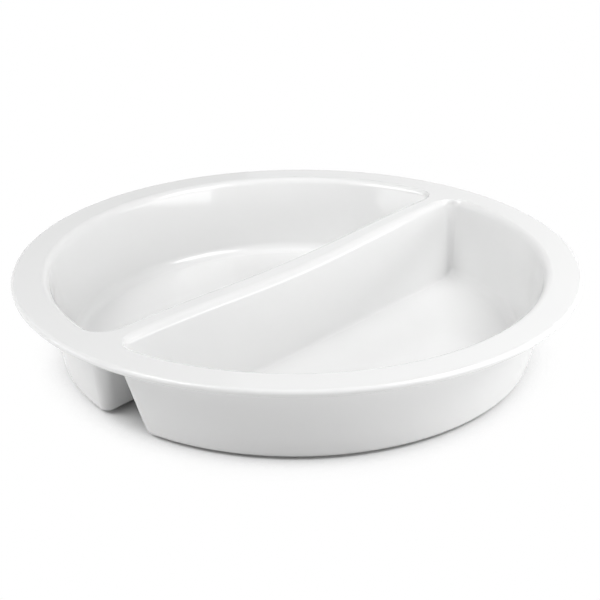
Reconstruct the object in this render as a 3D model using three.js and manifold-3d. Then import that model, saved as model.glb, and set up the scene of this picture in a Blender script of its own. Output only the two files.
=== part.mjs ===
// A round porcelain food pan with two half-moon wells and a hollow divider between them.
// Millimetres, +Z up. The origin is the middle of the pan on the table, +X runs along the divider
// and +Y points to the rear well. The pan is one fired body, drawn here as its formed sections.
import * as THREE from "three";
import { mergeVertices } from "three/addons/utils/BufferGeometryUtils.js";
import Module from "manifold-3d";

// Driving dimensions of the whole pan
const rimDiameter = 390; // over the lip
const panHeight = 65; // table to the top of the rim
const wallThickness = 6.4; // curved walls
const wallDraft = 12.5; // degrees that every wall leans outwards from its floor

// Driving dimensions of the rim
const rimWidth = 19.5; // lip to the start of the rounded inner shoulder
const rimThickness = 5.2;
const lipRadius = 2.5; // rounding of the lip's upper and lower edge
const shoulderRadius = 6; // rounding from the level rim down into a well
const coveRadius = 3; // hollow rounding where the walls run into the rim's underside
const seamDepth = 16; // the rim section reaches this far down the walls

// Driving dimensions of the divider
const crestWidth = 6.6; // flat between the two shoulders, at rim level
const crestDip = 4; // how far the crest sags below the rim at mid-length
const bridgeThickness = 5.2; // crest to the channel's ceiling
const dividerThickness = 4.8; // each of the divider's two walls

// Driving dimensions of a well and its foot
const cornerRadius = 2; // upright inside corner between the curved and the straight wall
const outerCornerRadius = 6.5; // the same corner outside
const cornerFlare = 5; // how much both grow from the table up to the rim
const mouthCornerRadius = 21; // the inside corner where the shoulder meets the level rim
const leastCorner = 0.5; // tightest corner that a rounding leaves
const floorThickness = 5.5;
const floorRadius = 9; // inside rounding between floor and curved wall
const dividerFloorRadius = 3; // the same along the divider
const baseRadius = 6; // outside rounding under the wall
const footHeight = 1.5;
const footWidth = 5;
const footCornerRadius = 8;
const footInset = 1.5; // foot ring's outer edge in from the end of the base rounding
const footChamfer = 0.4;

// Facet counts
const rimFacets = 96; // round the lip
const wallFacets = 56; // along a well's curved wall
const cornerFacets = 5; // round an upright corner
const roundFacets = 4; // across a shoulder, cove, lip or fillet
const bridgeFacets = 24; // along the divider

// Sizes that follow from the driving dimensions
const draft = THREE.MathUtils.degToRad(wallDraft);
const lean = Math.tan(draft);
const across = (thickness) => thickness / Math.cos(draft); // a drafted wall measured level
const turn = Math.PI / 2 - draft; // angle between a level face and a drafted wall
const setback = (radius) => radius * Math.tan(turn / 2); // sharp corner to a rounding's end
const rimUnderside = panHeight - rimThickness;
const seamHeight = panHeight - seamDepth;
const floorHeight = footHeight + floorThickness;
const cutterReach = 1; // how far a cutting shape runs past what it cuts

// A half-moon outline is given by its round wall's radius, its straight wall's distance from the
// pan's middle and the radius of its two corners. These are the walls' two faces at a height,
// carried on as sharp corners past every rounding.
function innerWall(z) {
  const fall = (panHeight - z) * lean;
  return {
    arc: rimDiameter / 2 - rimWidth - setback(shoulderRadius) - fall,
    chord: crestWidth / 2 + setback(shoulderRadius) + fall,
    corner: cornerRadius + (cornerFlare * z) / panHeight,
  };
}

function outerWall(z) {
  const inner = innerWall(z);
  return {
    arc: inner.arc + across(wallThickness),
    chord: inner.chord - across(dividerThickness),
    corner: outerCornerRadius + (cornerFlare * z) / panHeight,
  };
}

const grow = (moon, by) => ({
  arc: moon.arc + by,
  chord: moon.chord - by,
  corner: Math.max(moon.corner + by, leastCorner),
});

// Middle of the right-hand corner's circle
function cornerCentre({ arc, chord, corner }) {
  const y = chord + corner;
  return new THREE.Vector2(Math.sqrt((arc - corner) ** 2 - y ** 2), y);
}

// The outline's points at height z, anticlockwise seen from above
function moonRing(moon, z) {
  const centre = cornerCentre(moon);
  const start = centre.angle();
  const curves = [
    [new THREE.ArcCurve(centre.x, centre.y, moon.corner, -Math.PI / 2, start), cornerFacets],
    [new THREE.ArcCurve(0, 0, moon.arc, start, Math.PI - start), wallFacets],
    [
      new THREE.ArcCurve(-centre.x, centre.y, moon.corner, Math.PI - start, 1.5 * Math.PI),
      cornerFacets,
    ],
  ];
  return curves.flatMap(([curve, facets], i) =>
    curve
      .getPoints(facets)
      .slice(i > 0 ? 1 : 0)
      .map((p) => new THREE.Vector3(p.x, p.y, z)),
  );
}

const shares = Array.from({ length: roundFacets + 1 }, (_, i) => i / roundFacets);

// Rounding from a wall up into a level face: how far it lies outside the sharp corner, and how high
// over the level face
const roundInto = (radius) =>
  shares.map((share) => {
    const angle = turn * (1 - share);
    return {
      out: setback(radius) - radius * Math.sin(angle),
      rise: radius * Math.cos(angle) - radius,
    };
  });

// Rounding from a level face up into a wall
const roundOutOf = (radius) =>
  shares.map((share) => {
    const angle = turn * share;
    return {
      out: radius * Math.sin(angle) - setback(radius),
      rise: radius - radius * Math.cos(angle),
    };
  });

// The rounding's outlines, each set off from the wall at its own height
const roundedRings = (wall, level, steps) =>
  steps.map(({ out, rise }) => {
    const z = level + rise;
    return moonRing(grow(wall(z), out - rise * lean), z);
  });

// How far a rounding out of the floor stands out from its wall at a height over the floor
function standOut(radius, rise) {
  const angle = Math.acos(Math.max(1 - rise / radius, 0));
  return angle < turn ? setback(radius) - radius * Math.sin(angle) + rise * lean : 0;
}

// The floor's rounding, wide along the curved wall and tight along the divider
function floorRings() {
  const rises = [floorRadius, dividerFloorRadius].flatMap((radius) =>
    roundOutOf(radius).map(({ rise }) => rise),
  );
  const levels = [...new Set(rises)].sort((a, b) => a - b);
  return levels.map((rise) => {
    const z = floorHeight + rise;
    const wall = innerWall(z);
    const tight = standOut(dividerFloorRadius, rise);
    const moon = { ...grow(wall, -tight), arc: wall.arc - standOut(floorRadius, rise) };
    return moonRing(moon, z);
  });
}

// A well's mouth where its shoulder meets the level rim
const mouth = { ...grow(innerWall(panHeight), setback(shoulderRadius)), corner: mouthCornerRadius };

// The shoulder's outlines, whose corners widen from the wall's radius to the mouth's
function shoulderRings() {
  const steps = roundInto(shoulderRadius);
  const [start, end] = [steps[0].out, steps.at(-1).out];
  return steps.map(({ out, rise }) => {
    const z = panHeight + rise;
    const wall = innerWall(z);
    const share = (out - start) / (end - start);
    const corner = THREE.MathUtils.lerp(wall.corner, mouthCornerRadius, share);
    return moonRing({ ...grow(wall, out - rise * lean), corner }, z);
  });
}

const fromAbove = (p) => new THREE.Vector2(p.x, p.y);
const fromTheEnd = (p) => new THREE.Vector2(p.y, p.z);

// A solid through rings of equal point counts. With no view to draw its end caps in, the last
// ring joins the first.
function loft(rings, view) {
  const count = rings[0].length;
  const spans = view ? rings.length - 1 : rings.length;
  const faces = [];
  for (let i = 0; i < spans; i++) {
    const low = i * count;
    const high = ((i + 1) % rings.length) * count;
    for (let j = 0; j < count; j++) {
      const next = (j + 1) % count;
      faces.push(low + j, low + next, high + next, low + j, high + next, high + j);
    }
  }
  if (view) {
    const last = (rings.length - 1) * count;
    for (const [a, b, c] of THREE.ShapeUtils.triangulateShape(rings[0].map(view), []))
      faces.push(a, c, b);
    for (const [a, b, c] of THREE.ShapeUtils.triangulateShape(rings.at(-1).map(view), []))
      faces.push(last + a, last + b, last + c);
  }
  return new THREE.BufferGeometry().setFromPoints(rings.flat()).setIndex(faces);
}

const wasm = await Module();
wasm.setup();

function solidOf(geometry) {
  const bare = geometry.clone();
  bare.deleteAttribute("normal");
  bare.deleteAttribute("uv");
  const merged = mergeVertices(bare);
  return new wasm.Manifold(
    new wasm.Mesh({
      numProp: 3,
      vertProperties: merged.attributes.position.array,
      triVerts: new Uint32Array(merged.index.array),
    }),
  );
}

function geometryOf(solid) {
  const { vertProperties, triVerts } = solid.getMesh();
  return new THREE.BufferGeometry()
    .setAttribute("position", new THREE.BufferAttribute(vertProperties, 3))
    .setIndex(new THREE.BufferAttribute(triVerts, 1));
}

// A well: base, base rounding, outer wall, seam face, inner wall, floor rounding and floor
function wellGeometry() {
  const outside = roundedRings(outerWall, footHeight, roundOutOf(baseRadius));
  const seam = [outerWall, innerWall].map((wall) => moonRing(wall(seamHeight), seamHeight));
  return loft([...outside, ...seam, ...floorRings().reverse()], fromAbove);
}

// The ground ring that a well stands on
function footGeometry() {
  const base = grow(outerWall(footHeight), -setback(baseRadius) - footInset);
  const outside = { ...base, corner: footCornerRadius };
  const inside = grow(outside, -footWidth);
  const section = [
    [grow(outside, -footChamfer), 0],
    [outside, footChamfer],
    [outside, footHeight],
    [inside, footHeight],
    [inside, footChamfer],
    [grow(inside, footChamfer), 0],
  ];
  return loft(section.map(([moon, z]) => moonRing(moon, z)));
}

// The level plate with its rounded lip, as a full disc
function plateGeometry() {
  const radius = Math.min(lipRadius, rimThickness / 2);
  const reach = rimDiameter / 2 - radius;
  const edge = (height, from) =>
    new THREE.ArcCurve(reach, height, radius, from, from + Math.PI / 2).getPoints(roundFacets);
  const profile = [
    new THREE.Vector2(0, rimUnderside),
    ...edge(rimUnderside + radius, -Math.PI / 2),
    ...edge(panHeight - radius, 0),
    new THREE.Vector2(0, panHeight),
  ];
  return new THREE.LatheGeometry(profile, rimFacets).rotateX(Math.PI / 2);
}

// The upper stretch of a well's outer wall, with the cove under the rim, as a full half-moon
function collarGeometry() {
  const cove = roundedRings(outerWall, rimUnderside, roundInto(coveRadius));
  const inPlate = grow(outerWall(rimUnderside), setback(coveRadius));
  return loft(
    [
      moonRing(outerWall(seamHeight), seamHeight),
      ...cove,
      moonRing(inPlate, rimUnderside + cutterReach),
    ],
    fromAbove,
  );
}

// What a well's mouth takes out of the rim: the inner wall, flared by the rounded shoulder
function mouthGeometry() {
  const low = seamHeight - cutterReach;
  return loft(
    [moonRing(innerWall(low), low), ...shoulderRings(), moonRing(mouth, panHeight + cutterReach)],
    fromAbove,
  );
}

// The divider's straight stretch ends where the wells' corners begin, at the rim or at the seam.
const bridgeEnd = Math.min(cornerCentre(mouth).x, cornerCentre(innerWall(seamHeight)).x);

function rimGeometry() {
  const both = (geometry) => [geometry, geometry.clone().rotateZ(Math.PI)].map(solidOf);
  let rim = solidOf(plateGeometry());
  for (const collar of both(collarGeometry())) rim = rim.add(collar);
  for (const opening of both(mouthGeometry())) rim = rim.subtract(opening);
  const width = 2 * innerWall(seamHeight - cutterReach).chord;
  const height = seamDepth + 2 * cutterReach;
  const strip = new THREE.BoxGeometry(2 * bridgeEnd, width, height);
  strip.translate(0, 0, panHeight + cutterReach - height / 2);
  return geometryOf(rim.subtract(solidOf(strip)));
}

// The divider's section with its crest at a height: an arch with rounded shoulders outside
// and a round ceiling inside, anticlockwise seen from +X
function bridgeSection(crest) {
  const ceiling = crest - bridgeThickness;
  const ceilingRadius = outerWall(ceiling).chord / Math.tan(turn / 2);
  const flank = (wall, level, radius) => [
    new THREE.Vector2(wall(seamHeight).chord, seamHeight),
    ...roundInto(radius).map(
      ({ out, rise }) => new THREE.Vector2(wall(level).chord - out, level + rise),
    ),
  ];
  const mirrored = (side) => side.map((p) => new THREE.Vector2(-p.x, p.y));
  const outside = flank(innerWall, crest, shoulderRadius);
  const inside = flank(outerWall, ceiling, ceilingRadius).slice(0, -1);
  const top = new THREE.Vector2(0, ceiling);
  return [...outside, ...mirrored(outside).reverse(), ...mirrored(inside), top, ...inside.reverse()];
}

function bridgeGeometry() {
  const rings = Array.from({ length: bridgeFacets + 1 }, (_, i) => {
    const along = (2 * i) / bridgeFacets - 1; // -1 and 1 at the ends
    const dip = (crestDip * (1 + Math.cos(Math.PI * along))) / 2;
    const section = bridgeSection(panHeight - dip);
    return section.map((p) => new THREE.Vector3(along * bridgeEnd, p.x, p.y));
  });
  return loft(rings, fromTheEnd);
}

const glaze = () => new THREE.MeshStandardMaterial({ color: 0xf3f3f1, roughness: 0.12 });
const bisque = () => new THREE.MeshStandardMaterial({ color: 0xe9e6df, roughness: 0.8 });

function piece(name, geometry, material) {
  const mesh = new THREE.Mesh(geometry, material);
  mesh.name = name;
  return mesh;
}

function wellGroup(side) {
  const group = new THREE.Group();
  group.add(piece(`${side}_well`, wellGeometry(), glaze()));
  group.add(piece(`${side}_foot_ring`, footGeometry(), bisque()));
  return group;
}

const pan = new THREE.Group();
const front = wellGroup("front");
front.rotation.z = Math.PI;
pan.add(piece("rim_flange", rimGeometry(), glaze()));
pan.add(piece("divider_bridge", bridgeGeometry(), glaze()));
pan.add(wellGroup("rear"), front);

export default pan;
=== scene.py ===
"""A round porcelain food pan with two half-moon wells and a hollow divider, in a white studio.

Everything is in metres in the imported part's frame: the origin is on the table under the middle of
the pan, +Z is up, +X runs along the divider and +Y points to the rear well.
"""
import logging
import math
from abc import ABC, abstractmethod
from collections.abc import Callable, Iterable, Sequence
from dataclasses import dataclass, field, replace
from enum import Enum

import bmesh
import bpy
from mathutils import Matrix, Vector


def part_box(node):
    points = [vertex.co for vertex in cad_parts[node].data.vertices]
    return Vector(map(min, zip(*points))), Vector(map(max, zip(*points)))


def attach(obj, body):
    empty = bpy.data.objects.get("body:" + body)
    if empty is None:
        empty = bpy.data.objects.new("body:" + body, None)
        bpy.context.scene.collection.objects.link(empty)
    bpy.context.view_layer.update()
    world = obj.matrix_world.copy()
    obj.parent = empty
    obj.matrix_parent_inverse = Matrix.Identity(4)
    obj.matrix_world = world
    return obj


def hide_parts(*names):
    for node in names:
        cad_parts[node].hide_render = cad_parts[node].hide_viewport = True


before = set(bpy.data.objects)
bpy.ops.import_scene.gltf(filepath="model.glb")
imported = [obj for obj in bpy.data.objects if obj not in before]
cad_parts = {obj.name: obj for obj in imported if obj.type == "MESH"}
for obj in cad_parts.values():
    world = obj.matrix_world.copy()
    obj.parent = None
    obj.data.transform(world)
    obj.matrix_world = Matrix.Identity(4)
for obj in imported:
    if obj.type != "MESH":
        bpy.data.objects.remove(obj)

LOG = logging.getLogger("food_pan")
BODY = "root"
MILLIMETRE = 0.001
LEAST_CORNER = 0.5 * MILLIMETRE
JOIN_INSET = 3 * MILLIMETRE
HAIR = 0.01 * MILLIMETRE
X_AXIS, Y_AXIS, Z_AXIS = Vector((1, 0, 0)), Vector((0, 1, 0)), Vector((0, 0, 1))

Colour = tuple[float, float, float]
Settings = dict[str, object]
Inputs = dict[str | int, object]
WHITE: Colour = (1, 1, 1)
OPAQUE = 1


class Side(Enum):
    """The two wells, by the way that they lie from the divider."""

    REAR = "rear"
    FRONT = "front"


class Finish(Enum):
    """The pan's two surfaces, by the material slot that each fills."""

    GLAZED = "glazed_porcelain"
    BARE = "bare_porcelain"


@dataclass(frozen=True)
class Moon:
    """A half-moon outline: a round wall, a straight wall and two rounded corners."""

    arc: float
    chord: float
    corner: float

    def grown(self, by: float) -> "Moon":
        """The outline moved outwards by the same distance all round."""
        return Moon(self.arc + by, self.chord - by, max(self.corner + by, LEAST_CORNER))

    @property
    def centre(self) -> Vector:
        """Middle of the right-hand corner's circle."""
        y = self.chord + self.corner
        return Vector((math.sqrt((self.arc - self.corner) ** 2 - y**2), y, 0))


Wall = Callable[[float], Moon]


@dataclass(frozen=True)
class PanSizes:
    """The pan's sizes: first the five that the frame gives, then the driving dimensions."""

    rim_radius: float
    pan_height: float
    seam_height: float
    base_height: float
    divider_end: float
    wall_draft: float = math.radians(12.5)
    wall_thickness: float = 6.4 * MILLIMETRE
    divider_thickness: float = 4.8 * MILLIMETRE
    rim_width: float = 19.5 * MILLIMETRE
    rim_thickness: float = 5.2 * MILLIMETRE
    lip_radius: float = 2.5 * MILLIMETRE
    shoulder_radius: float = 6 * MILLIMETRE
    cove_radius: float = 3 * MILLIMETRE
    crest_width: float = 6.6 * MILLIMETRE
    crest_dip: float = 4 * MILLIMETRE
    corner_radius: float = 2 * MILLIMETRE
    outer_corner_radius: float = 6.5 * MILLIMETRE
    corner_flare: float = 5 * MILLIMETRE
    mouth_corner_radius: float = 21 * MILLIMETRE
    floor_thickness: float = 5.5 * MILLIMETRE
    floor_radius: float = 9 * MILLIMETRE
    divider_floor_radius: float = 3 * MILLIMETRE
    base_radius: float = 6 * MILLIMETRE
    foot_width: float = 5 * MILLIMETRE
    foot_inset: float = 1.5 * MILLIMETRE
    foot_corner_radius: float = 8 * MILLIMETRE
    foot_rounding: float = 0.4 * MILLIMETRE

    @classmethod
    def from_frame(cls) -> "PanSizes":
        """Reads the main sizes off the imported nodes.

        Returns:
            The sizes. The divider's end lies a little inside its node's end, so that each outline
            has a straight run between that end and its own corner.
        """
        _, rim_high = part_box("rim_flange")
        divider_low, divider_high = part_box("divider_bridge")
        well_low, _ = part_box("rear_well")
        return cls(
            rim_radius=rim_high.x,
            pan_height=rim_high.z,
            seam_height=divider_low.z,
            base_height=well_low.z,
            divider_end=divider_high.x - JOIN_INSET,
        )

    @property
    def lean(self) -> float:
        """How far a drafted wall moves sideways for each metre of height."""
        return math.tan(self.wall_draft)

    @property
    def turn(self) -> float:
        """Angle between a level face and a drafted wall."""
        return math.pi / 2 - self.wall_draft

    @property
    def rim_underside(self) -> float:
        """Height of the rim's underside."""
        return self.pan_height - self.rim_thickness

    @property
    def floor_height(self) -> float:
        """Height of a well's floor."""
        return self.base_height + self.floor_thickness

    def across(self, thickness: float) -> float:
        """A drafted wall's thickness measured level."""
        return thickness / math.cos(self.wall_draft)

    def flare(self, z: float) -> float:
        """How much the upright corners have grown at a height."""
        return self.corner_flare * z / self.pan_height

    def setback(self, radius: float) -> float:
        """Distance from a sharp corner to the end of its rounding."""
        return radius * math.tan(self.turn / 2)

    def inner_wall(self, z: float) -> Moon:
        """A well's inner outline, with the wall carried on past every rounding.

        Args:
            z: height of the outline.

        Returns:
            The outline.
        """
        fall = (self.pan_height - z) * self.lean
        edge = self.setback(self.shoulder_radius) + fall
        return Moon(
            arc=self.rim_radius - self.rim_width - edge,
            chord=self.crest_width / 2 + edge,
            corner=self.corner_radius + self.flare(z),
        )

    def outer_wall(self, z: float) -> Moon:
        """A well's outer outline, with the wall carried on past every rounding.

        Args:
            z: height of the outline.

        Returns:
            The outline.
        """
        inner = self.inner_wall(z)
        return Moon(
            arc=inner.arc + self.across(self.wall_thickness),
            chord=inner.chord - self.across(self.divider_thickness),
            corner=self.outer_corner_radius + self.flare(z),
        )


@dataclass(frozen=True)
class Ring:
    """A half-moon outline at a height."""

    moon: Moon
    z: float


def round_into(
    sizes: PanSizes, wall: Wall, level: float, radius: float, steps: int
) -> list[Ring]:
    """The rounding from a drafted wall up into a level face.

    Args:
        sizes: the pan's sizes.
        wall: gives the wall's outline at a height.
        level: height of the level face.
        radius: radius of the rounding.
        steps: number of facets across it.

    Returns:
        The rounding's outlines, from the wall to the level face.
    """
    rings = []
    for step in range(steps + 1):
        angle = sizes.turn * (1 - step / steps)
        out = sizes.setback(radius) - radius * math.sin(angle)
        rise = radius * math.cos(angle) - radius
        rings.append(Ring(wall(level + rise).grown(out - rise * sizes.lean), level + rise))
    return rings


def round_out_of(
    sizes: PanSizes, wall: Wall, level: float, radius: float, steps: int
) -> list[Ring]:
    """The rounding from a level face up into a drafted wall.

    Args:
        sizes: the pan's sizes.
        wall: gives the wall's outline at a height.
        level: height of the level face.
        radius: radius of the rounding.
        steps: number of facets across it.

    Returns:
        The rounding's outlines, from the level face to the wall.
    """
    rings = []
    for step in range(steps + 1):
        angle = sizes.turn * step / steps
        out = radius * math.sin(angle) - sizes.setback(radius)
        rise = radius - radius * math.cos(angle)
        rings.append(Ring(wall(level + rise).grown(out - rise * sizes.lean), level + rise))
    return rings


def stand_out(sizes: PanSizes, radius: float, rise: float) -> float:
    """How far a rounding out of the floor stands out from its wall.

    Args:
        sizes: the pan's sizes.
        radius: radius of the rounding.
        rise: height over the floor.

    Returns:
        The distance, measured level. It is 0 above the rounding.
    """
    angle = math.acos(max(1 - rise / radius, 0))
    if angle >= sizes.turn:
        return 0
    return sizes.setback(radius) - radius * math.sin(angle) + rise * sizes.lean


def round_floor(sizes: PanSizes, steps: int) -> list[Ring]:
    """The floor's rounding, wide along the curved wall and tight along the divider.

    Args:
        sizes: the pan's sizes.
        steps: number of facets across each of the two roundings.

    Returns:
        The rounding's outlines, from the floor to the wall.
    """
    radii = (sizes.floor_radius, sizes.divider_floor_radius)
    angles = [sizes.turn * step / steps for step in range(steps + 1)]
    rings = []
    for rise in sorted({radius * (1 - math.cos(angle)) for radius in radii for angle in angles}):
        wall = sizes.inner_wall(sizes.floor_height + rise)
        tight = wall.grown(-stand_out(sizes, sizes.divider_floor_radius, rise))
        arc = wall.arc - stand_out(sizes, sizes.floor_radius, rise)
        rings.append(Ring(replace(tight, arc=arc), sizes.floor_height + rise))
    return rings


def round_mouth(sizes: PanSizes, steps: int) -> list[Ring]:
    """The shoulder of a well's mouth, whose corners widen from the wall's radius to the mouth's.

    Args:
        sizes: the pan's sizes.
        steps: number of facets across the shoulder.

    Returns:
        The shoulder's outlines, from the wall to the level rim.
    """
    rings = []
    plain = round_into(sizes, sizes.inner_wall, sizes.pan_height, sizes.shoulder_radius, steps)
    for step, ring in enumerate(plain):
        share = 1 - math.sin(sizes.turn * (1 - step / steps)) / math.sin(sizes.turn)
        start = sizes.inner_wall(ring.z).corner
        corner = start + share * (sizes.mouth_corner_radius - start)
        rings.append(Ring(replace(ring.moon, corner=corner), ring.z))
    return rings


@dataclass(frozen=True)
class Line:
    """A straight stroke of the pencil."""

    by: Vector

    def draw(self) -> None:
        """Extrudes the last point."""
        bpy.ops.mesh.extrude_vertices_move(TRANSFORM_OT_translate={"value": self.by})


@dataclass(frozen=True)
class Arc:
    """A round stroke of the pencil, anticlockwise about its axis."""

    centre: Vector
    axis: Vector
    angle: float
    steps: int

    def draw(self) -> None:
        """Spins the last point. The operator counts its angle clockwise."""
        bpy.ops.mesh.spin(steps=self.steps, angle=-self.angle, center=self.centre, axis=self.axis)


def near(value: float, place: float) -> bool:
    """Whether two lengths are the same, to within a hair."""
    return abs(value - place) < HAIR


class Bench:
    """A mesh that is drawn and closed in edit mode."""

    POINT_SIZE = 0.1 * MILLIMETRE
    SAME_PLACE = 0.002 * MILLIMETRE
    SHARP_ANGLE = math.radians(50)

    def __init__(self, name: str) -> None:
        """Starts an empty mesh at the origin.

        Args:
            name: the piece's name.
        """
        bpy.ops.object.select_all(action="DESELECT")
        bpy.ops.mesh.primitive_plane_add(size=self.POINT_SIZE)
        self.piece = bpy.context.object
        self.piece.name = self.piece.data.name = name
        bpy.ops.object.mode_set(mode="EDIT")
        bpy.ops.mesh.delete(type="VERT")
        bpy.ops.mesh.select_mode(type="VERT")

    def shape(self) -> bmesh.types.BMesh:
        """Looks at the mesh as it stands.

        Returns:
            The mesh, with its points numbered in order.
        """
        shape = bmesh.from_edit_mesh(self.piece.data)
        shape.verts.index_update()
        shape.verts.ensure_lookup_table()
        return shape

    def chain(self, start: Vector, strokes: Iterable[Line | Arc]) -> range:
        """Draws a line of points.

        Args:
            start: the first point.
            strokes: the strokes that follow it.

        Returns:
            The points' numbers, first and last in their order along the line.
        """
        first = len(self.shape().verts)
        bpy.ops.mesh.primitive_plane_add(size=self.POINT_SIZE, location=start)
        bpy.ops.mesh.merge(type="CENTER")
        for stroke in strokes:
            stroke.draw()
        return range(first, len(self.shape().verts))

    def pick_points(self, wanted: Callable[[bmesh.types.BMVert], bool]) -> None:
        """Selects points, with the lines between them.

        Args:
            wanted: tells whether a point is picked.
        """
        bpy.ops.mesh.select_all(action="DESELECT")
        shape = self.shape()
        for point in filter(wanted, shape.verts):
            point.select_set(True)
        shape.select_flush(True)
        bmesh.update_edit_mesh(self.piece.data)

    def pick_lines(self, wanted: Callable[[bmesh.types.BMEdge], bool]) -> None:
        """Selects lines.

        Args:
            wanted: tells whether a line is picked.
        """
        bpy.ops.mesh.select_all(action="DESELECT")
        for line in filter(wanted, self.shape().edges):
            line.select_set(True)
        bmesh.update_edit_mesh(self.piece.data)

    def pick_chains(self, *chains: range) -> None:
        """Selects the lines along whole chains.

        Args:
            chains: the numbers of each chain's points.
        """
        bpy.ops.mesh.select_all(action="DESELECT")
        points = self.shape().verts
        for chain in chains:
            for line in (line for number in chain for line in points[number].link_edges):
                if all(point.index in chain for point in line.verts):
                    line.select_set(True)
        bmesh.update_edit_mesh(self.piece.data)

    def close(self, chain: range) -> None:
        """Joins a chain's two ends.

        Args:
            chain: the numbers of its points.
        """
        ends = (chain[0], chain[-1])
        self.pick_points(lambda point: point.index in ends)
        bpy.ops.mesh.edge_face_add()

    def skin(self, chains: Sequence[range]) -> None:
        """Lays faces between each chain and the next.

        Args:
            chains: the numbers of each chain's points.
        """
        bpy.ops.mesh.select_mode(type="EDGE")
        for chain, following in zip(chains, chains[1:]):
            self.pick_chains(chain, following)
            bpy.ops.mesh.bridge_edge_loops()
        bpy.ops.mesh.select_mode(type="VERT")

    def cap(self, chain: range) -> None:
        """Closes a chain with one flat face."""
        self.pick_chains(chain)
        bpy.ops.mesh.edge_face_add()

    def span(self, outside: range, inside: range) -> None:
        """Fills the flat between two closed chains at one height."""
        self.pick_chains(outside, inside)
        bpy.ops.mesh.fill(use_beauty=True)

    def turn_round(self) -> None:
        """Turns the selected points half round the pan's middle."""
        bpy.ops.transform.rotate(value=math.pi, orient_axis="Z", center_override=(0, 0, 0))

    def merge(self) -> None:
        """Merges points that lie in the same place."""
        bpy.ops.mesh.select_all(action="SELECT")
        bpy.ops.mesh.remove_doubles(threshold=self.SAME_PLACE)

    def finish(self, side: Side = Side.REAR) -> bpy.types.Object:
        """Turns the faces outwards and evens the shading out over flats and roundings.

        Args:
            side: where the piece belongs. What is drawn on the rear side is turned to the front.

        Returns:
            The finished piece, at the origin.
        """
        self.merge()
        bpy.ops.mesh.normals_make_consistent(inside=False)
        if side is Side.FRONT:
            self.turn_round()
        bpy.ops.object.mode_set(mode="OBJECT")
        bpy.ops.object.shade_smooth_by_angle(angle=self.SHARP_ANGLE)
        bpy.ops.object.modifier_add(type="WEIGHTED_NORMAL")
        even = self.piece.modifiers[-1]
        even.keep_sharp = True
        bpy.ops.object.modifier_apply(modifier=even.name)
        return self.piece


@dataclass
class Outline:
    """Draws half-moon outlines on a bench, all with the same number of points."""

    bench: Bench
    wall_steps: int = 132
    corner_steps: int = 12

    def strokes(self, moon: Moon, z: float) -> list[Arc]:
        """Plans one corner, the round wall and the other corner, anticlockwise from above.

        Args:
            moon: the outline.
            z: its height.

        Returns:
            The strokes, from the straight wall's right-hand end to its left-hand end.
        """
        right = Vector((moon.centre.x, moon.centre.y, z))
        left = Vector((-right.x, right.y, z))
        start = math.atan2(right.y, right.x)
        corner = math.pi / 2 + start
        return [
            Arc(right, Z_AXIS, corner, self.corner_steps),
            Arc(Vector((0, 0, z)), Z_AXIS, math.pi - 2 * start, self.wall_steps),
            Arc(left, Z_AXIS, corner, self.corner_steps),
        ]

    def closed(self, ring: Ring) -> range:
        """Draws the whole outline, with its straight wall as one line.

        Args:
            ring: the outline and its height.

        Returns:
            The numbers of its points.
        """
        start = Vector((ring.moon.centre.x, ring.moon.chord, ring.z))
        chain = self.bench.chain(start, self.strokes(ring.moon, ring.z))
        self.bench.close(chain)
        return chain

    def open(self, ring: Ring, end: float) -> range:
        """Draws the outline with the middle of its straight wall left out.

        Args:
            ring: the outline and its height.
            end: how far the missing stretch reaches along X to either side.

        Returns:
            The numbers of its points.
        """
        run = Vector((ring.moon.centre.x - end, 0, 0))
        start = Vector((end, ring.moon.chord, ring.z))
        strokes = [Line(run), *self.strokes(ring.moon, ring.z), Line(run)]
        return self.bench.chain(start, strokes)


@dataclass
class Section(ABC):
    """A formed section of the pan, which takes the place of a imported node."""

    sizes: PanSizes
    piece: bpy.types.Object | None = field(default=None, init=False)

    @property
    @abstractmethod
    def node(self) -> str:
        """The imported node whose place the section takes."""

    @property
    def finish(self) -> Finish:
        """The section's surface."""
        return Finish.GLAZED

    @abstractmethod
    def build(self) -> None:
        """Models the section's mesh."""

    def dress(self, materials: dict[Finish, bpy.types.Material]) -> None:
        """Gives the section its surface and puts it in its node's place.

        Args:
            materials: the material of each finish.
        """
        self.piece.data.materials.clear()
        self.piece.data.materials.append(materials[self.finish])
        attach(self.piece, BODY)
        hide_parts(self.node)
        self.finish.value


@dataclass
class Well(Section):
    """A half-moon trough, from its base up to the seam under the rim."""

    side: Side
    round_steps: int = 10

    @property
    def node(self) -> str:
        """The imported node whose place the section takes."""
        return f"{self.side.value}_well"

    def build(self) -> None:
        """Draws the outlines from the base, up the outside and down the inside to the floor."""
        s = self.sizes
        base = round_out_of(s, s.outer_wall, s.base_height, s.base_radius, self.round_steps)
        floor = round_floor(s, self.round_steps)
        seam = [Ring(wall(s.seam_height), s.seam_height) for wall in (s.outer_wall, s.inner_wall)]
        bench = Bench(f"{self.side.value}_trough")
        outline = Outline(bench)
        outside = [outline.closed(ring) for ring in (*base, seam[0])]
        inside = [outline.closed(ring) for ring in (*floor, seam[1])]
        for chains in (outside, inside):
            bench.skin(chains)
            bench.cap(chains[0])
        bench.span(outside[-1], inside[-1])
        self.piece = bench.finish(self.side)


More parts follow.
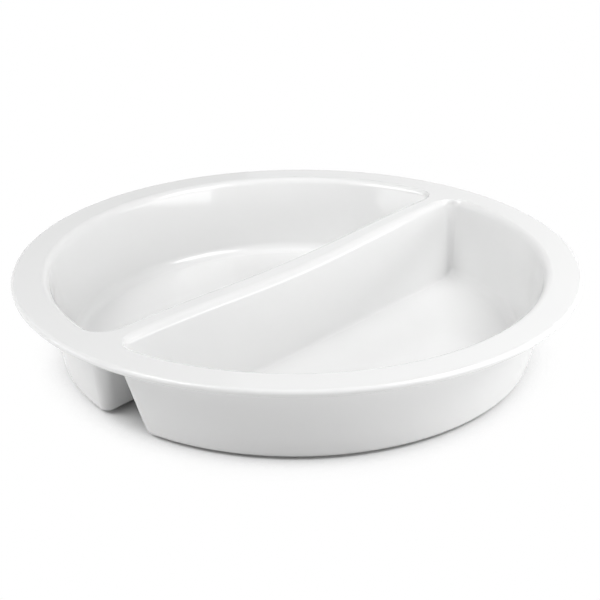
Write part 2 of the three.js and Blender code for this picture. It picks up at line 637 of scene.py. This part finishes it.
@dataclass
class FootRing(Section):
    """The ground ring that a well stands on."""

    side: Side
    round_steps: int = 3

    @property
    def node(self) -> str:
        """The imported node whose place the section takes."""
        return f"{self.side.value}_foot_ring"

    @property
    def finish(self) -> Finish:
        """The section's surface."""
        return Finish.BARE

    def build(self) -> None:
        """Draws the ring's outlines up both sides and fills its underside and its top."""
        s = self.sizes
        base = s.outer_wall(s.base_height).grown(-s.setback(s.base_radius) - s.foot_inset)
        outside = replace(base, corner=s.foot_corner_radius)
        inside = outside.grown(-s.foot_width)
        edge = []
        for step in range(self.round_steps + 1):
            angle = math.pi / 2 * step / self.round_steps
            inset = s.foot_rounding * (1 - math.sin(angle))
            edge.append((inset, s.foot_rounding * (1 - math.cos(angle))))
        bench = Bench(f"{self.side.value}_ground_foot")
        outline = Outline(bench)
        sides = []
        for moon, inwards in ((outside, -1), (inside, 1)):
            rings = [Ring(moon.grown(inwards * inset), z) for inset, z in edge]
            rings.append(Ring(moon, s.base_height))
            sides.append([outline.closed(ring) for ring in rings])
            bench.skin(sides[-1])
        for end in (0, -1):
            bench.span(sides[0][end], sides[1][end])
        self.piece = bench.finish(self.side)


@dataclass
class Rim(Section):
    """The level rim with its lip, the mouths' rounded shoulders and the walls down to the seam."""

    lip_steps: int = 288
    round_steps: int = 10
    edge_steps: int = 8

    @property
    def node(self) -> str:
        """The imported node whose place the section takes."""
        return "rim_flange"

    def build(self) -> None:
        """Draws the shoulders and walls, spins the lip and fills the flats between them."""
        bench = Bench("rim_plate")
        self.draw_mouths(bench)
        self.draw_lip(bench)
        for end in (self.sizes.divider_end, -self.sizes.divider_end):
            self.close_end(bench, end)
        for level in (self.sizes.pan_height, self.sizes.rim_underside):
            self.fill_flat(bench, level)
        self.piece = bench.finish()

    def draw_mouths(self, bench: Bench) -> None:
        """Draws the rear half from the rim's top to its underside and copies it to the front.

        Args:
            bench: the bench to draw on.
        """
        s = self.sizes
        shoulder = round_mouth(s, self.round_steps)
        cove = round_into(s, s.outer_wall, s.rim_underside, s.cove_radius, self.round_steps)
        seam = [Ring(wall(s.seam_height), s.seam_height) for wall in (s.inner_wall, s.outer_wall)]
        outline = Outline(bench)
        rings = (*reversed(shoulder), *seam, *cove)
        bench.skin([outline.open(ring, s.divider_end) for ring in rings])
        bpy.ops.mesh.select_all(action="SELECT")
        bpy.ops.mesh.duplicate()
        bench.turn_round()

    def draw_lip(self, bench: Bench) -> None:
        """Draws the lip's rounded section and spins it round the pan.

        Args:
            bench: the bench to draw on.
        """
        s = self.sizes
        reach = s.rim_radius - s.lip_radius
        low = Vector((reach, 0, s.rim_underside + s.lip_radius))
        high = Vector((reach, 0, s.pan_height - s.lip_radius))
        quarter = -math.pi / 2
        section = bench.chain(
            Vector((reach, 0, s.rim_underside)),
            [
                Arc(low, Y_AXIS, quarter, self.edge_steps),
                Line(high - low),
                Arc(high, Y_AXIS, quarter, self.edge_steps),
            ],
        )
        bench.pick_chains(section)
        bpy.ops.mesh.spin(steps=self.lip_steps, angle=2 * math.pi, center=(0, 0, 0), axis=Z_AXIS)
        bench.merge()

    def close_end(self, bench: Bench, end: float) -> None:
        """Closes the rim where the divider meets it.

        Args:
            bench: the bench that the rim lies on.
            end: the join's place along X.
        """
        s = self.sizes
        for level in (s.pan_height, s.rim_underside):
            bench.pick_points(lambda point: near(point.co.x, end) and near(point.co.z, level))
            bpy.ops.mesh.edge_face_add()
        bench.pick_lines(lambda line: all(near(point.co.x, end) for point in line.verts))
        bpy.ops.mesh.edge_face_add()

    def fill_flat(self, bench: Bench, level: float) -> None:
        """Fills the flat between the lip and the mouths.

        Args:
            bench: the bench that the rim lies on.
            level: height of the flat.
        """
        faces_inside = 2
        bench.pick_lines(
            lambda line: len(line.link_faces) < faces_inside
            and all(near(point.co.z, level) for point in line.verts)
        )
        bpy.ops.mesh.fill(use_beauty=True)


@dataclass
class Divider(Section):
    """The hollow saddle between the wells: an arch in section, whose crest sags at mid-length."""

    stations: int = 48
    round_steps: int = 10

    @property
    def node(self) -> str:
        """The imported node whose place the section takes."""
        return "divider_bridge"

    def dip(self, x: float) -> float:
        """How far the crest lies below the rim at a place along X."""
        return self.sizes.crest_dip * (1 + math.cos(math.pi * x / self.sizes.divider_end)) / 2

    def build(self) -> None:
        """Draws the arch at one end, carries it along the divider and closes both ends."""
        s = self.sizes
        bench = Bench("divider_saddle")
        first = self.draw_arch(bench, -s.divider_end)
        step = 2 * s.divider_end / self.stations
        bench.pick_chains(first)
        for station in range(1, self.stations + 1):
            x = -s.divider_end + station * step
            sag = self.dip(x) - self.dip(x - step)
            bpy.ops.mesh.extrude_edges_move(TRANSFORM_OT_translate={"value": (step, 0, 0)})
            for side in (1, -1):
                bench.pick_points(
                    lambda point: near(point.co.x, x)
                    and point.co.y * side > 0
                    and point.co.z > s.seam_height + HAIR
                )
                bpy.ops.transform.translate(value=(0, side * sag * s.lean, -sag))
            bench.pick_lines(lambda line: all(near(point.co.x, x) for point in line.verts))
        bpy.ops.mesh.edge_face_add()
        bench.cap(first)
        self.piece = bench.finish()

    def draw_arch(self, bench: Bench, x: float) -> range:
        """Draws the arch's outline in the plane across the divider.

        Args:
            bench: the bench to draw on.
            x: the plane's place along X.

        Returns:
            The outline's points.
        """
        s = self.sizes
        inner_foot = s.inner_wall(s.seam_height).chord
        outer_foot = s.outer_wall(s.seam_height).chord
        crest = self.rounding(s.inner_wall, s.pan_height, s.shoulder_radius, x)
        vault = self.rounding(s.outer_wall, s.rim_underside, s.cove_radius, x)
        start = Vector((x, inner_foot, s.seam_height))
        vault_start = Vector((x, -outer_foot, s.seam_height))
        strokes = [
            *self.half_arch(start, crest, 1),
            Line(vault_start - Vector((x, -inner_foot, s.seam_height))),
            *self.half_arch(vault_start, vault, -1),
        ]
        chain = bench.chain(start, strokes)
        bench.close(chain)
        return chain

    def rounding(
        self, wall: Wall, level: float, radius: float, x: float
    ) -> tuple[Vector, Vector]:
        """Places a wall's rounding on the divider's rear side.

        Args:
            wall: gives the wall's outline at a height.
            level: height of the level face that the wall rounds into.
            radius: radius of the rounding.
            x: the rounding's place along X.

        Returns:
            The rounding's middle, and the point where it leaves the wall.
        """
        s = self.sizes
        middle = Vector((x, wall(level).chord - s.setback(radius), level - radius))
        leaves = middle + radius * Vector((0, math.sin(s.turn), math.cos(s.turn)))
        return middle, leaves

    def half_arch(
        self, start: Vector, rounding: tuple[Vector, Vector], side: int
    ) -> list[Line | Arc]:
        """The strokes from a wall's foot over the top to the foot of the wall opposite.

        Args:
            start: the first wall's foot.
            rounding: the rounding's middle and its end on the wall, on the rear side.
            side: 1 to start at the rear wall, -1 to start at the front wall.

        Returns:
            The strokes in order.
        """
        mirror = Matrix.Diagonal((1, -1, 1))
        near_side, far_side = (rounding, tuple(mirror @ place for place in rounding))[::side]
        angle = side * self.sizes.turn
        return [
            Line(near_side[1] - start),
            Arc(near_side[0], X_AXIS, angle, self.round_steps),
            Line(far_side[0] - near_side[0]),
            Arc(far_side[0], X_AXIS, angle, self.round_steps),
            Line(mirror @ start - far_side[1]),
        ]


class Value:
    """A shader value that takes part in Python expressions."""

    def __init__(self, shader: "Shader", socket: bpy.types.NodeSocket) -> None:
        """Wraps an output of one of the shader's nodes."""
        self.shader = shader
        self.socket = socket

    def combine(self, operation: str, first: "Value | float", second: "Value | float") -> "Value":
        """Adds a Math node that works on two terms."""
        return self.shader.value("ShaderNodeMath", {"operation": operation}, {0: first, 1: second})

    def __add__(self, other: "Value | float") -> "Value":
        """This value plus another."""
        return self.combine("ADD", self, other)

    def __radd__(self, other: float) -> "Value":
        """A number plus this value."""
        return self.combine("ADD", other, self)

    def at_least(self, other: "Value | float") -> "Value":
        """The larger of this value and another."""
        return self.combine("MAXIMUM", self, other)

    def __mul__(self, other: "Value | float") -> "Value":
        """This value times another."""
        return self.combine("MULTIPLY", self, other)

    def __rmul__(self, other: float) -> "Value":
        """A number times this value."""
        return self.combine("MULTIPLY", other, self)


class Shader:
    """A node tree that is written as expressions."""

    def __init__(self, tree: bpy.types.NodeTree) -> None:
        """Starts from an empty tree."""
        self.tree = tree
        self.tree.nodes.clear()

    def node(
        self, kind: str, settings: Settings | None = None, inputs: Inputs | None = None
    ) -> bpy.types.Node:
        """Adds a node.

        Args:
            kind: the node's type.
            settings: its settings by name, which are set first.
            inputs: values or links for its sockets, by name or number.

        Returns:
            The node.
        """
        node = self.tree.nodes.new(kind)
        for name, setting in (settings or {}).items():
            setattr(node, name, setting)
        for name, given in (inputs or {}).items():
            if isinstance(given, Value):
                self.tree.links.new(given.socket, node.inputs[name])
            else:
                node.inputs[name].default_value = given
        return node

    def value(
        self,
        kind: str,
        settings: Settings | None = None,
        inputs: Inputs | None = None,
        output: int | str = 0,
    ) -> Value:
        """Adds a node and gives one of its outputs as a value."""
        return Value(self, self.node(kind, settings, inputs).outputs[output])

    def place(self) -> Value:
        """The point on the piece, in the part's own frame."""
        return self.value("ShaderNodeTexCoord", output="Object")

    def noise(self, scale: float, detail: float, place: Value) -> Value:
        """A soft random value between 0 and 1, with so many lumps a metre."""
        inputs = {"Vector": place, "Scale": scale, "Detail": detail}
        return self.value("ShaderNodeTexNoise", None, inputs, "Fac")

    def blend(self, share: Value, first: Colour, second: Colour) -> Value:
        """Mixes two colours.

        Args:
            share: how much of the second colour shows, from 0 to 1.
            first: the colour where the share is 0.
            second: the colour where the share is 1.

        Returns:
            The mixed colour.
        """
        factor, colour_a, colour_b, colour_out = 0, 6, 7, 2
        inputs = {factor: share, colour_a: (*first, OPAQUE), colour_b: (*second, OPAQUE)}
        return self.value("ShaderNodeMix", {"data_type": "RGBA"}, inputs, colour_out)

    def bump(self, height: Value) -> Value:
        """The way that a surface faces when it swells by a height in metres."""
        return self.value("ShaderNodeBump", None, {"Strength": 1, "Distance": 1, "Height": height})

    def show(self, surface: Value) -> None:
        """Ends a material's tree with its surface."""
        self.node("ShaderNodeOutputMaterial", None, {"Surface": surface})


def new_material(name: str) -> tuple[bpy.types.Material, Shader]:
    """Makes a material.

    Args:
        name: the material's name.

    Returns:
        The material, and its empty tree to write in.
    """
    material = bpy.data.materials.new(name)
    material.use_nodes = True
    return material, Shader(material.node_tree)


@dataclass(frozen=True)
class Glaze:
    """Neutral white porcelain under a clear, glossy glaze."""

    body: Colour = (0.86, 0.86, 0.857)
    pooled: Colour = (0.84, 0.843, 0.842)
    roughness: float = 0.07
    roughness_spread: float = 0.05
    mottle_per_metre: float = 16
    mottle_detail: float = 3
    ripple_per_metre: float = 48
    ripple_detail: float = 1
    ripple_height: float = 0.03 * MILLIMETRE
    peel_per_metre: float = 420
    peel_detail: float = 0
    peel_height: float = 0.0012 * MILLIMETRE
    refraction: float = 1.5

    def material(self) -> bpy.types.Material:
        """Makes a white body with faint clouds, under a glaze that is never quite even.

        Returns:
            The material.
        """
        material, shader = new_material(Finish.GLAZED.value)
        place = shader.place()
        mottle = shader.noise(self.mottle_per_metre, self.mottle_detail, place)
        ripple = shader.noise(self.ripple_per_metre, self.ripple_detail, place)
        peel = shader.noise(self.peel_per_metre, self.peel_detail, place)
        coat = {
            "Base Color": shader.blend(mottle, self.body, self.pooled),
            "Roughness": self.roughness + self.roughness_spread * mottle,
            "IOR": self.refraction,
            "Normal": shader.bump(ripple * self.ripple_height + peel * self.peel_height),
        }
        shader.show(shader.value("ShaderNodeBsdfPrincipled", None, coat))
        return material


@dataclass(frozen=True)
class Bisque:
    """Unglazed porcelain, ground flat so that it stands level."""

    clean: Colour = (0.80, 0.78, 0.74)
    soiled: Colour = (0.66, 0.64, 0.60)
    roughness: float = 0.72
    roughness_spread: float = 0.2
    cloud_per_metre: float = 60
    cloud_detail: float = 4
    grain_per_metre: float = 2200
    grain_detail: float = 2
    grain_height: float = 0.02 * MILLIMETRE

    def material(self) -> bpy.types.Material:
        """Makes a matt, slightly grey body with a fine ground grain.

        Returns:
            The material.
        """
        material, shader = new_material(Finish.BARE.value)
        place = shader.place()
        cloud = shader.noise(self.cloud_per_metre, self.cloud_detail, place)
        grain = shader.noise(self.grain_per_metre, self.grain_detail, place)
        coat = {
            "Base Color": shader.blend(cloud * grain, self.clean, self.soiled),
            "Roughness": self.roughness + self.roughness_spread * grain,
            "Normal": shader.bump(grain * self.grain_height),
        }
        shader.show(shader.value("ShaderNodeBsdfPrincipled", None, coat))
        return material


@dataclass(frozen=True)
class SoftBox:
    """A soft lamp that faces the pan. Its azimuth counts anticlockwise from +X, in degrees."""

    name: str
    azimuth: float
    elevation: float
    distance: float
    width: float
    height: float
    watts: float

    def place(self) -> None:
        """Hangs the lamp."""
        lamp = bpy.data.lights.new(self.name, "AREA")
        lamp.shape = "RECTANGLE"
        lamp.size, lamp.size_y = self.width, self.height
        lamp.energy = self.watts
        across, up = math.radians(self.azimuth), math.radians(self.elevation)
        level = math.cos(up)
        towards = Vector((math.cos(across) * level, math.sin(across) * level, math.sin(up)))
        holder = bpy.data.objects.new(self.name, lamp)
        holder.location = towards * self.distance
        holder.rotation_euler = towards.to_track_quat("Z", "Y").to_euler()
        bpy.context.scene.collection.objects.link(holder)


@dataclass(frozen=True)
class PhotoCamera:
    """The camera at the photograph's viewing angle, for a square picture."""

    aim_height: float = 29.25 * MILLIMETRE
    distance: float = 886.44 * MILLIMETRE
    elevation: float = 24.461
    heading: float = 47.781
    roll: float = -0.394
    lens: float = 75.18
    sensor: float = 36.0
    shift_x: float = 0.0051
    shift_y: float = 0.0070

    def place(self) -> None:
        """Puts the camera up and makes it the scene's own."""
        up, across = math.radians(self.elevation), math.radians(self.heading)
        level = math.cos(up)
        ahead = Vector((math.sin(across) * level, math.cos(across) * level, -math.sin(up)))
        right = Vector((math.cos(across), -math.sin(across), 0))
        right.rotate(Matrix.Rotation(-math.radians(self.roll), 3, ahead))
        above = right.cross(ahead)
        camera = bpy.data.cameras.new("photo_camera")
        camera.sensor_width = self.sensor
        camera.lens = self.lens
        camera.shift_x, camera.shift_y = self.shift_x, self.shift_y
        holder = bpy.data.objects.new("photo_camera", camera)
        turned = Matrix((right, above, -ahead)).transposed().to_4x4()
        aim = Vector((0, 0, self.aim_height))
        holder.matrix_world = Matrix.Translation(aim - ahead * self.distance) @ turned
        bpy.context.scene.collection.objects.link(holder)
        bpy.context.scene.camera = holder


@dataclass
class Studio:
    """A pale table in a white room with soft lamps."""

    table_size: float = 8.0
    table_colour: Colour = (0.75, 0.75, 0.75)
    table_glow: float = 1.0
    shadow_reach: float = 120 * MILLIMETRE
    full_shadow: float = 0.2
    no_shadow: float = 0.42
    room_light: float = 0.05
    lamps: tuple[SoftBox, ...] = (
        SoftBox("right_box", azimuth=290, elevation=50, distance=1.2,
                width=0.6, height=0.6, watts=7.7),
        SoftBox("right_low_box", azimuth=294, elevation=9, distance=1.3,
                width=1.3, height=0.5, watts=8.1),
        SoftBox("left_box", azimuth=160, elevation=50, distance=2.0,
                width=0.9, height=0.9, watts=16.0),
        SoftBox("left_low_box", azimuth=152, elevation=9, distance=1.3,
                width=1.3, height=0.5, watts=5.9),
        SoftBox("top_box", azimuth=0, elevation=90, distance=2.0,
                width=1.0, height=1.0, watts=3.8),
        SoftBox("back_box", azimuth=30, elevation=24, distance=1.5,
                width=0.8, height=0.8, watts=0.5),
    )

    def build(self) -> None:
        """Lays the table, lights it and puts the camera up."""
        self.lay_table()
        self.light_room()
        for lamp in self.lamps:
            lamp.place()
        PhotoCamera().place()
        bpy.context.scene.view_settings.view_transform = "Standard"

    @staticmethod
    def seen(shader: Shader) -> Value:
        """Tells what is looked at from what only lights a surface.

        Args:
            shader: the tree to work in.

        Returns:
            1 where the eye, a gloss or a glass looks, 0 for light on its way to a surface.
        """
        path = shader.node("ShaderNodeLightPath")
        eye, gloss, glass = (
            Value(shader, path.outputs[f"Is {look} Ray"])
            for look in ("Camera", "Glossy", "Transmission")
        )
        return eye.at_least(gloss).at_least(glass)

    def lay_table(self) -> None:
        """Lays a matt table that glows white to the eye and keeps the pan's shadow."""
        bpy.ops.object.select_all(action="DESELECT")
        bpy.ops.mesh.primitive_plane_add(size=self.table_size)
        table = bpy.context.object
        table.name = table.data.name = "studio_table"
        material, shader = new_material("table_white")
        matt = shader.value("ShaderNodeBsdfDiffuse", None, {"Color": (*self.table_colour, OPAQUE)})
        light = {"Color": (*WHITE, OPAQUE), "Strength": self.table_glow}
        glow = shader.value("ShaderNodeEmission", None, light)
        reach = {"Distance": self.shadow_reach}
        sky = shader.value("ShaderNodeAmbientOcclusion", None, reach, "AO")
        shade = {"Value": sky, "From Min": self.full_shadow, "From Max": self.no_shadow}
        soft = {"interpolation_type": "SMOOTHSTEP"}
        open_table = shader.value("ShaderNodeMapRange", soft, shade)
        factor, first, second = 0, 1, 2
        mix = {factor: self.seen(shader) * open_table, first: matt, second: glow}
        shader.show(shader.value("ShaderNodeMixShader", None, mix))
        table.data.materials.append(material)

    def light_room(self) -> None:
        """Makes the room white to the eye and lights the pan with an even, weaker glow."""
        world = bpy.data.worlds.new("white_room")
        world.use_nodes = True
        shader = Shader(world.node_tree)
        strength = self.room_light + (1 - self.room_light) * self.seen(shader)
        light = {"Color": (*WHITE, OPAQUE), "Strength": strength}
        glow = shader.value("ShaderNodeBackground", None, light)
        shader.node("ShaderNodeOutputWorld", None, {"Surface": glow})
        bpy.context.scene.world = world


def main() -> None:
    """Builds the pan piece by piece, dresses it and sets up the studio."""
    logging.basicConfig(level=logging.INFO, format="%(message)s")
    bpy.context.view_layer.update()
    sizes = PanSizes.from_frame()
    materials = {Finish.GLAZED: Glaze().material(), Finish.BARE: Bisque().material()}
    sections = [Rim(sizes), Divider(sizes)]
    for side in Side:
        sections += [Well(sizes, side), FootRing(sizes, side)]
    for section in sections:
        section.build()
        section.dress(materials)
        mesh = section.piece.data
        counts = (len(mesh.vertices), len(mesh.polygons))
        LOG.info("%s: %d points, %d faces", section.piece.name, *counts)
    Studio().build()


if __name__ == "__main__":
    main()
